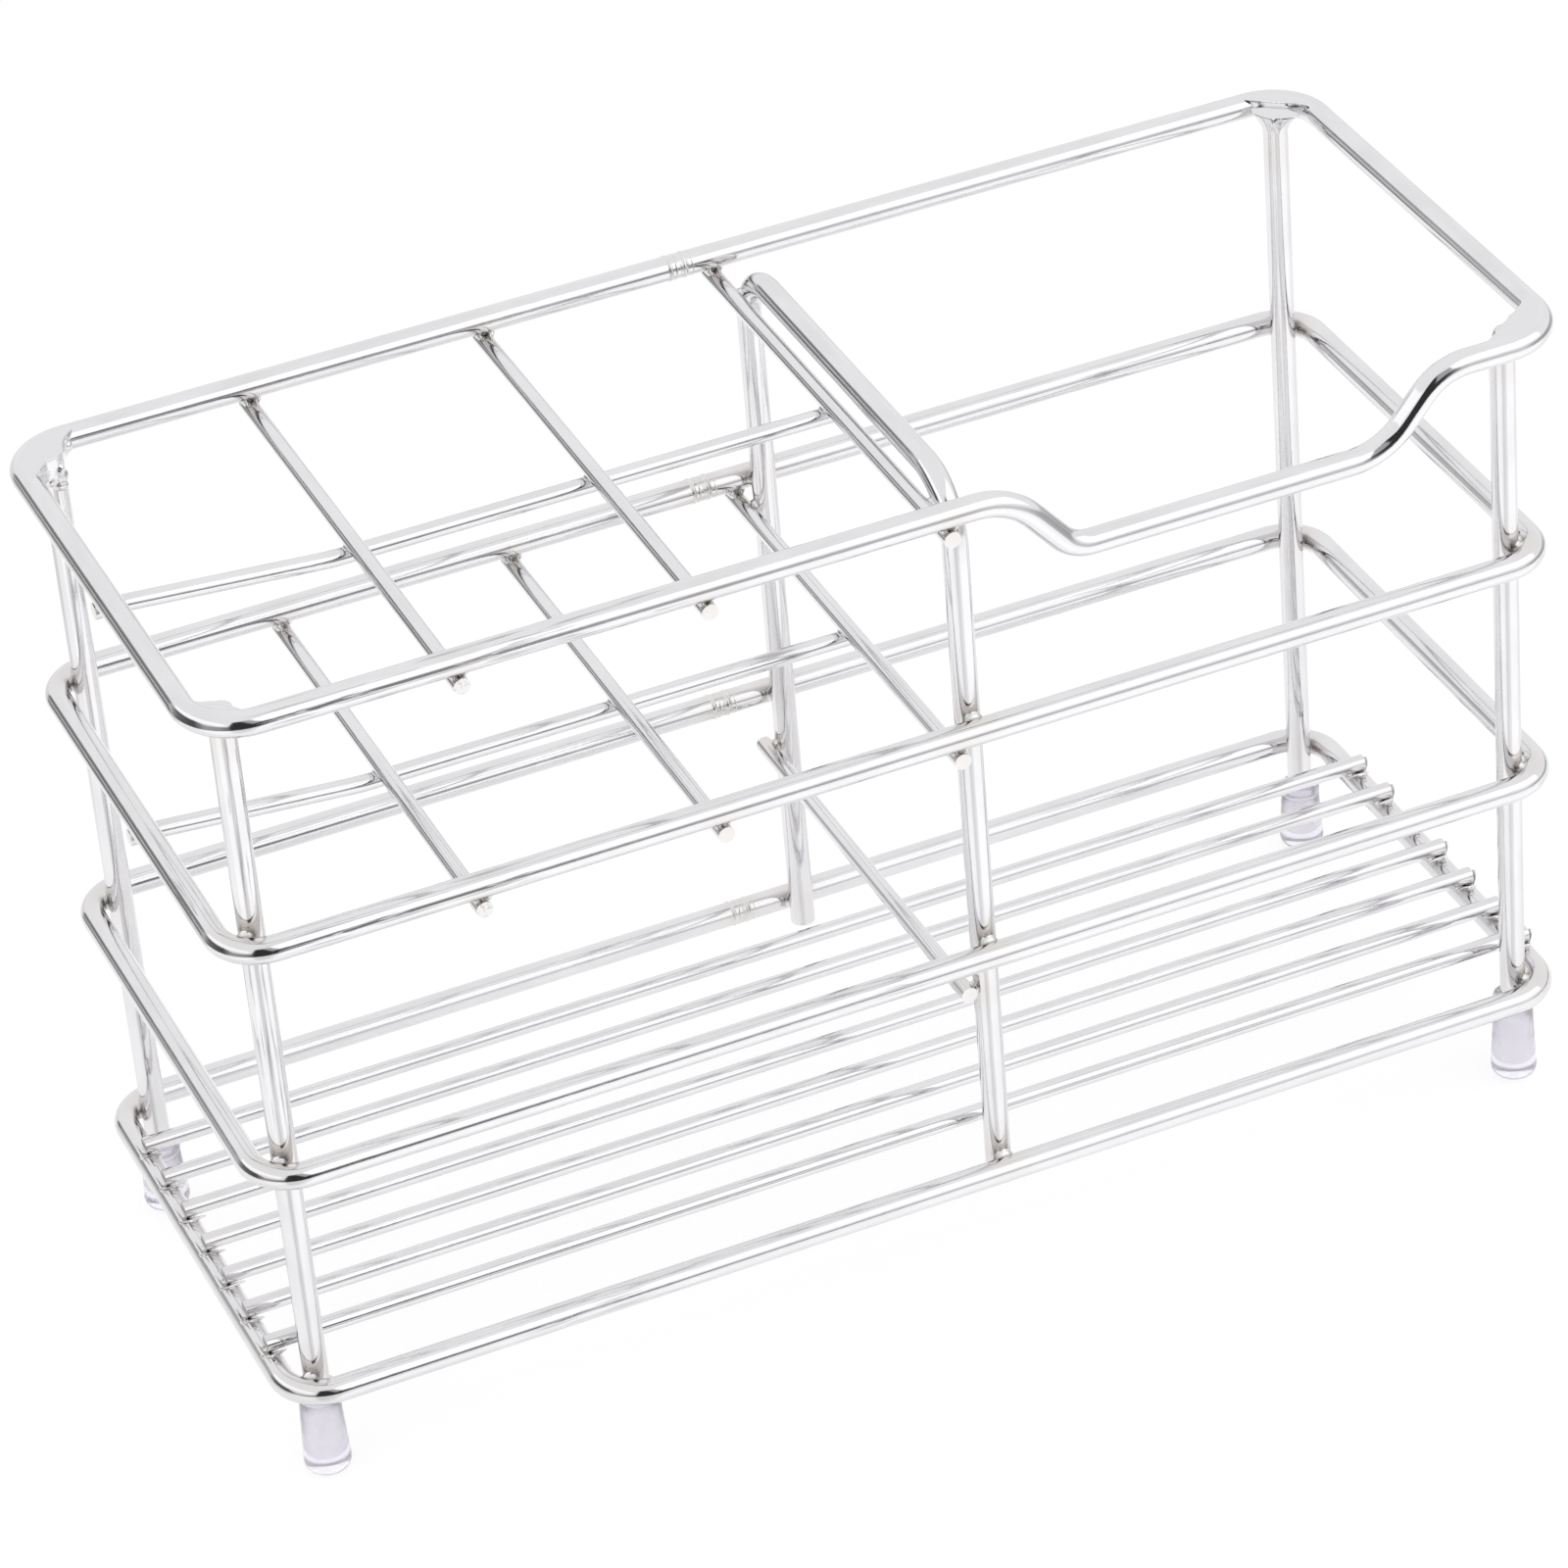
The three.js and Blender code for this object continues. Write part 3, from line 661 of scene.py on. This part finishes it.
# The one post that widens into the rim like a trumpet: half its width at the neck, how much that gains
# over a certain rise, and the steps that it is cut into
flare_neck, flare_gain, flare_rise = 1.87, 3.3, 4.2
flare_start, flare_end, flare_step, flare_plate = 127.4, 130.9, 0.4, 0.45
corner_webs = {
    # Each layer: its inner edge from the short run to the long one, and its lowest and highest point
    "front_left": {
        "layers": [
            ([(-100.4, -31.8), (-99.2, -32.6), (-98.3, -33.6), (-97.0, -34.1), (-95.9, -34.8),
              (-95.0, -36.4), (-93.9, -38.2), (-92.2, -39.6)], 128.4, 130.75),
            ([(-100.5, -32.5), (-99.3, -34.4), (-97.6, -35.6), (-96.2, -36.6), (-95.0, -38.4),
              (-92.5, -40.1)], 128.4, 131.3),
            ([(-100.6, -32.6), (-99.8, -36.0), (-98.2, -37.6), (-96.2, -38.9), (-92.5, -40.5)],
             128.6, 131.75),
        ],
        "beads": [],
    },
    "front_right": {
        "layers": [
            ([(100.4, -31.4), (99.0, -32.5), (98.0, -33.6), (97.1, -34.1), (96.4, -34.9), (95.2, -35.4),
              (94.5, -36.2), (93.4, -36.9), (92.4, -37.9), (91.0, -38.9), (89.4, -40.0)], 128.9, 131.86),
        ],
        "beads": [
            ((97.6, -36.6, 131.5), (0.5, 0.4, 0.6), (0, 0, 0.5)),
            ((96.2, -35.6, 127.9), (1.7, 1.7, 1.7), (0, 0, 0)),
            ((95.0, -33.9, 127.8), (1.5, 1.5, 1.7), (0, 0, 0)),
        ],
    },
    "back_left": {
        "layers": [
            ([(-100.5, 29.6), (-99.2, 30.6), (-98.2, 32.0), (-97.3, 33.0), (-95.6, 33.3), (-94.3, 34.4),
              (-93.9, 36.0), (-93.2, 37.6), (-91.3, 39.6)], 128.6, 131.88),
        ],
        "beads": [
            ((-95.9, 35.1, 127.9), (2.1, 2.0, 1.5), (0, 0, 0)),
            ((-97.8, 35.0, 128.6), (1.3, 1.5, 1.1), (0, 0, 0)),
            ((-95.0, 37.2, 128.6), (1.2, 1.5, 1.1), (0, 0, 0)),
            ((-97.4, 33.5, 129.7), (0.8, 0.6, 0.9), (0, 0.4, 0)),
            ((-96.9, 33.6, 128.1), (0.9, 0.7, 0.8), (0, 0, 0)),
            ((-95.3, 33.5, 129.3), (0.6, 0.5, 1.1), (0, 0.2, 0)),
            ((-95.6, 33.6, 127.1), (1.3, 0.7, 0.8), (0, 0.3, 0)),
            ((-92.8, 38.5, 129.9), (1.0, 0.7, 0.9), (0, 0, 0)),
        ],
    },
    "back_right": {
        "layers": [
            ([(100.5, 31.0), (99.6, 32.6), (98.6, 34.2), (97.2, 35.6), (96.0, 36.5), (94.8, 37.4),
              (93.4, 38.7), (91.8, 39.8), (89.9, 40.5)], 130.0, 131.8),
        ],
        "beads": [((94.2, 33.6, 129.9), (0.75, 0.35, 1.3), (0, 0, 0))],
        # Going up: a height, and half the width there
        "flare": [
            (height, flare_neck + flare_gain * ((height - flare_start) / flare_rise) ** 2)
            for height in np.arange(flare_start, flare_end, flare_step)],
    },
}
for place, shape in corner_webs.items():
    side, end = place.split("_")
    corner = Vector((rim_left if end == "left" else rim_right, rim_front if side == "front" else rim_back))
    inward = Vector((1 if end == "left" else -1, 1 if side == "front" else -1))
    stubs = [
        ([(corner.x, corner.y + inward.y * web_run, rim_height), (corner.x, corner.y, rim_height),
          (corner.x + inward.x * web_run, corner.y, rim_height)], [rim_bend], heavy_wire),
        ([(post_x[end], post_y[side], web_low),
          (post_x[end], post_y[side], post_tops.get(f"post_{place}", web_top))], [], heavy_wire),
    ]
    bend_centre = corner + inward * rim_bend
    outer_edge = [
        (bend_centre.x - inward.x * rim_bend * math.sin(turn),
         bend_centre.y - inward.y * rim_bend * math.cos(turn))
        for turn in np.linspace(0, math.pi / 2, 9)]
    plates = [
        (inner_edge + [(inner_edge[-1][0], corner.y)] + outer_edge + [(corner.x, inner_edge[0][1])],
         low, high)
        for inner_edge, low, high in shape["layers"]]
    along, across = Vector((-inward.y, inward.x)).normalized(), inward.normalized() * heavy_wire / 2
    for height, reach in shape.get("flare", []):
        plates.append(([
            Vector((post_x[end], post_y[side])) + along * reach * math.cos(turn) + across * math.sin(turn)
            for turn in np.linspace(0, 2 * math.pi, 24, endpoint=False)], height, height + flare_plate))
    melting = 24 if "flare" in shape else 8
    web = melt_weld(f"top_rim_web_{place}", stubs, shape["beads"], plates, grain=0.15, melting=melting)
    join_rack(web, "heavy_wire", stainless, "top_rim")
    heat_spots.append(((post_x[end], post_y[side], web_low + 3), 0.3, 6))
# Painted dark reflections round the back right post's flare and its bead
painted_shade_spots += [
    ((93.6, 37.7, 131.1), 1.4, 0.9),
    ((97.6, 34.5, 131.1), 1.4, 1.0),
    ((94.7, 33.4, 130.0), 1.2, 0.7),
]

# Rests: thin wires across the slots, welded under the rim and under the upper ring, and one along
# the middle under them that halves each slot. A last one joins the divider's legs lower down.
rest_x = [-64.9, -29.2, 6.5]
rest_middle = 0.5
rest_drop = 3.225  # from the middle of the wire above to a rest's
crossing_drop = 2.6  # from there to the middle rest
rest_past = 1.4  # how far the ends stick out past the middle of the wire above
rest_seam = 1.95  # from the middle of the wire above down to the filler beside a rest
rest_run = 3.5  # how much of the wire above is taken into a rest's weld, to each side
crossing_run = 2.6  # how much of both rests, where they cross
slope_inset = 3  # where the middle rest's slope starts and ends, from the rim and from the first rest
rest_bend = 30
for level, left, front, back, over in (
    ("rim", rim_left, rim_front, rim_back, rim_height),
    ("upper", ring_left, ring_front, ring_back, ring_heights["upper_ring"]),
):
    under = over - rest_drop
    stubs, beads = [], []
    for slot, x in enumerate(rest_x, 1):
        node = f"{level}_rest_{slot}"
        rest = draw_wire(f"{node}_wire", [
            (x, front - rest_past, under), (x, back + rest_past, under)], [], light_wire)
        join_rack(rest, "light_wire", stainless, node)
        for run_y, way in ((front, 1), (back, -1)):
            stubs += [
                ([(x, run_y - way * 1.1, under), (x, run_y + way * weld_reach, under)], [], light_wire),
                ([(x - rest_run, run_y, over), (x + rest_run, run_y, over)], [], heavy_wire),
            ]
            for side in (-1, 1):
                beads.append((
                    (x + side * 0.95, run_y + way * chance.uniform(0.1, 0.5), over - rest_seam),
                    (0.55, chance.uniform(0.9, 1.3), 0.6), (0, 0, chance.uniform(-0.2, 0.2))))
            heat_spots.append(((x, run_y, over - 1.9), 0.5, 5))
        # Where the middle rest crosses under
        stubs += [
            ([(x, rest_middle - crossing_run, under),
              (x, rest_middle + crossing_run, under)], [], light_wire),
            ([(x - crossing_run, rest_middle, under - crossing_drop),
              (min(x + crossing_run, rest_x[-1] + 0.6), rest_middle, under - crossing_drop)],
             [], light_wire),
        ]
        beads.append(((x, rest_middle, under - 1.3), (1.1, 1.1, 0.5), (0, 0, 0)))
    stubs += [
        ([(left - 1.1, rest_middle, under), (left + rest_run, rest_middle, under - 0.05)], [], light_wire),
        ([(left, rest_middle - rest_run, over), (left, rest_middle + rest_run, over)], [], heavy_wire),
    ]
    for side in (-1, 1):
        beads.append((
            (left + 0.3, rest_middle + side * 0.95, over - rest_seam), (1.1, 0.55, 0.6), (0, 0, 0)))
    heat_spots.append(((left, rest_middle, over - 1.9), 0.4, 5))
    # The last rest also lies against the divider
    hoop_touch = 32.9 if level == "rim" else 35.5
    for way in (-1, 1):
        y = rest_middle + way * hoop_touch
        if level == "upper":
            stubs.append(([(hoop_x, y, under - 3), (hoop_x, y, under + 2)], [], heavy_wire))
        stubs.append(([(rest_x[-1], y - 3, under), (rest_x[-1], y + 3, under)], [], light_wire))
        beads.append((((hoop_x + rest_x[-1]) / 2 - 0.35, y, under), (0.6, 1.2, 1.1), (0, 0, 0)))
    weld = melt_weld(f"{level}_rest_welds", stubs, beads, grain=0.14, melting=8)
    join_rack(weld, "light_wire", weld_metal)
    node = f"{level}_long_rest"
    rest = draw_wire(f"{node}_wire", [
        (left - rest_past, rest_middle, under),
        (left + slope_inset, rest_middle, under),
        (rest_x[0] - slope_inset, rest_middle, under - crossing_drop),
        (rest_x[-1] + 0.9, rest_middle, under - crossing_drop),
    ], [rest_bend] * 2, light_wire)
    join_rack(rest, "light_wire", stainless, node)
lower_rest_height = 47.0
lower_touch = 7.6  # where it touches the divider's legs
rest = draw_wire("lower_rest_wire", [
    (rest_x[-1], hoop_front - rest_past, lower_rest_height),
    (rest_x[-1], hoop_back + rest_past, lower_rest_height),
], [], light_wire)
join_rack(rest, "light_wire", stainless, "lower_rest")
stubs, beads = [], []
for leg_y in (hoop_front, hoop_back):
    stubs += [
        ([(hoop_x, leg_y, lower_rest_height - 3), (hoop_x, leg_y, lower_rest_height + 3)], [], heavy_wire),
        ([(rest_x[-1], leg_y - 1.2, lower_rest_height),
          (rest_x[-1], leg_y + 1.2, lower_rest_height)], [], light_wire),
    ]
    beads.append(((lower_touch, leg_y, lower_rest_height), (0.6, 1.0, 1.2), (0, 0, 0)))
    heat_spots.append(((lower_touch + 0.2, leg_y, lower_rest_height), 0.5, 5))
weld = melt_weld("lower_rest_welds", stubs, beads, grain=0.14, melting=8)
join_rack(weld, "light_wire", weld_metal)

# Feet: caps moulded from clear soft vinyl and pushed over the posts' lower ends, up to the base ring at
# the front and less far at the back. They taper upwards, and the sole's edge is round.
foot_top, foot_edge = 14.525, 1.6
foot_sole_radius, foot_top_radius = 3.435, 2.835
bore_radius, bore_floor = 1.86, 2.95
back_short = 3.2  # how much shorter the back ones' sleeves are


def clear_vinyl():
    """Plasticised clear PVC: glassy and a little soft to the eye, with a faint lavender cast from the
    blue toner that hides its yellow, and slow waves from the mould."""
    vinyl, tree = blank_material("clear_soft_vinyl")
    place = add_node(tree, "ShaderNodeTexCoord").outputs["Object"]
    # Waves about 3 mm apart, and a fine haze of 0.4 mm
    wave = add_node(tree, "ShaderNodeTexNoise", {"Vector": place, "Scale": 330.0, "Detail": 1.0}).outputs[0]
    haze = add_node(tree, "ShaderNodeTexNoise", {
        "Vector": place, "Scale": 2500.0, "Detail": 2.0}).outputs[0]
    bump = add_node(tree, "ShaderNodeBump", {
        "Height": wave, "Strength": 0.25, "Distance": 0.3 * mm}).outputs[0]
    rough = add_node(tree, "ShaderNodeMapRange", {0: haze, 3: 0.1, 4: 0.24}).outputs[0]
    colour = add_node(tree, "ShaderNodeValToRGB", {0: wave}, [
        (0.3, linear("#f2effb")), (0.7, linear("#faf8fe"))]).outputs[0]
    shader = add_node(tree, "ShaderNodeBsdfPrincipled", {
        "Base Color": colour, "Roughness": rough, "IOR": 1.5, "Transmission Weight": 0.74,
        "Normal": bump}).outputs[0]
    add_node(tree, "ShaderNodeOutputMaterial", {"Surface": shader})
    return vinyl


vinyl = clear_vinyl()
for side, y in post_y.items():
    lip = {"front": foot_top, "back": foot_top - back_short}[side]
    profile = [
        (foot_sole_radius - foot_edge * (1 - math.sin(math.radians(turn))),
         foot_edge * (1 - math.cos(math.radians(turn)))) for turn in range(0, 91, 10)]
    slope = (foot_sole_radius - foot_top_radius) / (lip - foot_edge)
    profile += [
        (foot_sole_radius - slope * rise, foot_edge + rise)
        for rise in np.linspace(2.5, lip - 2.1 - foot_edge, 4)]
    # A rolled lip round the top, and the bore
    profile += [
        (foot_top_radius + 0.02, lip - 1.87),
        (foot_top_radius + 0.12, lip - 1.67),
        (foot_top_radius + 0.19, lip - 1.22),
        (foot_top_radius + 0.18, lip - 0.72),
        (foot_top_radius + 0.05, lip - 0.27),
        (foot_top_radius - 0.2, lip - 0.03),
        (foot_top_radius - 0.4, lip),
        (bore_radius + 0.3, lip),
        (bore_radius + 0.08, lip - 0.1),
        (bore_radius, lip - 0.4),
        (bore_radius, bore_floor + 0.5),
        (bore_radius - 0.15, bore_floor + 0.1),
        (bore_radius - 0.5, bore_floor),
    ]
    for end, x in post_x.items():
        node = f"foot_{side}_{end}"
        bpy.ops.object.select_all(action="DESELECT")
        bpy.ops.mesh.primitive_circle_add(
            vertices=48, radius=profile[0][0] * mm, fill_type="NGON",
            location=(x * mm, y * mm, profile[0][1] * mm))
        foot = bpy.context.object
        foot.name = foot.data.name = f"{node}_cap"
        bpy.ops.object.transform_apply(location=True, rotation=True, scale=True)
        bpy.ops.object.mode_set(mode="EDIT")
        bpy.ops.mesh.select_all(action="SELECT")
        for (radius, height), (next_radius, next_height) in zip(profile, profile[1:]):
            bpy.ops.mesh.extrude_region_move(
                TRANSFORM_OT_translate={"value": (0, 0, (next_height - height) * mm)})
            bpy.ops.transform.resize(
                value=(next_radius / radius, next_radius / radius, 1), center_override=(x * mm, y * mm, 0))
        bpy.ops.mesh.select_all(action="SELECT")
        bpy.ops.mesh.normals_make_consistent(inside=False)
        bpy.ops.object.mode_set(mode="OBJECT")
        bpy.ops.object.shade_smooth_by_angle(angle=math.radians(40))
        join_rack(foot, "clear_vinyl", vinyl, node)

# Heat tint, scuffs and painted shade: each weld leaves a straw-brown film on the wire round it, which
# the polish didn't quite take off, and gets painted shade in its corners and under its fins, and handling
# has scratched a few runs, whose scratches carry a painted dark reflection. The points keep all three for
# the steel.
mark_fade = 1.5  # how fast a mark fades towards its reach
for mark, marked in (("weld_heat", heat_spots), ("scuffed_and_painted_dark", scuffs_and_painted_dark), ("painted_shade", painted_shade_spots)):
    spots = np.array([place for place, strength, reach in marked]) * mm
    strengths = np.array([strength for place, strength, reach in marked])
    reaches = np.array([reach for place, strength, reach in marked]) * mm
    for wire in [piece for piece in bpy.data.objects if piece.active_material in (stainless, weld_metal)]:
        points = np.array([v.co for v in wire.data.vertices])
        far = np.linalg.norm(points[:, None] - spots[None], axis=2)
        amount = (strengths * np.clip(1 - far / reaches, 0, 1) ** mark_fade).max(axis=1)
        kept = wire.data.attributes.new(mark, "FLOAT", "POINT")
        kept.data.foreach_set("value", amount.astype(np.float32))
